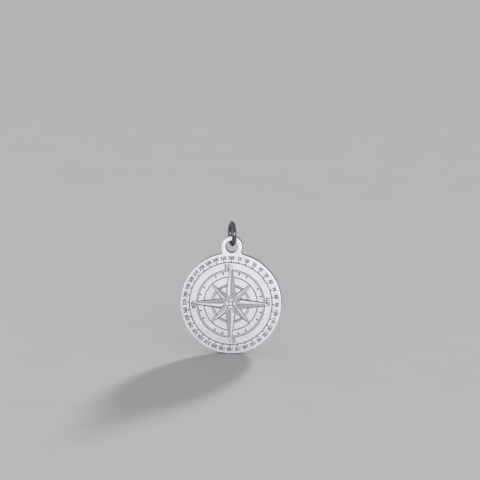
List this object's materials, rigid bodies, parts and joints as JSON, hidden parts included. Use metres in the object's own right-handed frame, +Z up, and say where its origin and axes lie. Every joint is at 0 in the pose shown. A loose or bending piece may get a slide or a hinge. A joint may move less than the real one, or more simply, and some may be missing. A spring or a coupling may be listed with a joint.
{
  "type": "compass pendant",
  "caption": "Round flat metal medallion with an eyelet, engraved with a compass rose and a degree scale, hanging in a round wire jump ring.",
  "frame": {"origin": "inside top of the jump ring, the point that rests on the chain or cord it hangs from", "axes": "+Z up, towards the chain; the engraved face looks along -Y, so its right hand side, east on the dial, is +X"},
  "size_m": [0.02, 0.0048, 0.0263],
  "materials": {
    "medallion_steel": "polished stainless steel with a fine satin face, laser engraved lines frosted grey",
    "ring_steel": "bright polished stainless steel wire"
  },
  "bodies": {
    "ring": {"jump_ring": "ring_steel"},
    "pendant": {"medallion": "medallion_steel"}
  },
  "joints": [
    {"name": "swing", "type": "hinge", "parent": "ring", "child": "pendant", "pos_m": [0, 0, -0.0017], "axis": [0.9563, 0.2924, 0], "range_deg": [-90, 90]}
  ]
}
